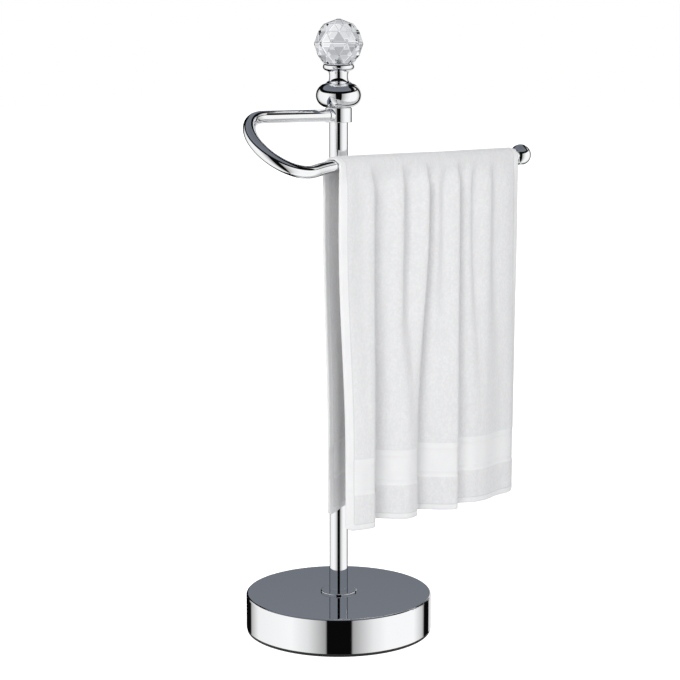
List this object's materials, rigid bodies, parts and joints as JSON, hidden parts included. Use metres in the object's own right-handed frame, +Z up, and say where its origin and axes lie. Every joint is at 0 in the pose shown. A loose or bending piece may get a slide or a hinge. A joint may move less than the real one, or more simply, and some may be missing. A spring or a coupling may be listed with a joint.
{
  "type": "hand towel stand",
  "caption": "Free-standing countertop hand-towel stand: weighted round base, slim post, swivelling bent tube arm carrying a towel, and a turned finial with a faceted clear ball.",
  "frame": {"origin": "centre of the underside of the base, on the post's axis", "axes": "+Z up along the post, +X along the towel bar towards its free end, -Y the side of the post that the towel bar stands on"},
  "size_m": [0.3255, 0.155, 0.5072],
  "materials": {
    "chrome_plate": "bright polished chrome plate",
    "black_rubber": "moulded black rubber, matt",
    "cast_iron": "rough cast, lightly oiled",
    "zinc_steel": "zinc-plated steel",
    "nylon": "natural nylon",
    "clear_seat": "clear silicone",
    "crystal": "clear cut crystal glass, polished facets",
    "terry_cotton": "white cotton terry with a woven border and hemmed ends"
  },
  "bodies": {
    "stand": {"base_shell": "chrome_plate", "foot_pad": "black_rubber", "base_weight": "cast_iron", "base_plate": "zinc_steel", "base_plate_screws": "zinc_steel", "foot_bolt": "zinc_steel", "foot_washer": "zinc_steel", "foot_spring_washer": "zinc_steel", "post_foot_insert": "zinc_steel", "post_flange": "chrome_plate", "post_tube": "chrome_plate", "pivot_spindle": "zinc_steel", "lower_thrust_washer": "nylon", "upper_thrust_washer": "nylon", "finial_bulb": "chrome_plate", "crystal_cup": "chrome_plate", "crystal_stud": "zinc_steel", "crystal_seat": "clear_seat", "crystal_ball": "crystal"},
    "arm": {"arm_collar": "chrome_plate", "swivel_bush": "nylon", "arm_spigot": "zinc_steel", "arm_ferrule": "chrome_plate", "arm_tube": "chrome_plate", "arm_end_plug": "zinc_steel", "end_ball": "chrome_plate"},
    "towel": {"towel": "terry_cotton"}
  },
  "joints": [
    {"name": "arm_swivel", "type": "hinge", "parent": "stand", "child": "arm", "pos_m": [0, 0, 0.429], "axis": [0, 0, 1], "continuous": true},
    {"name": "towel_lift", "type": "slide", "parent": "arm", "child": "towel", "axis": [0, 0, 1], "range_m": [0, 0.31]}
  ]
}
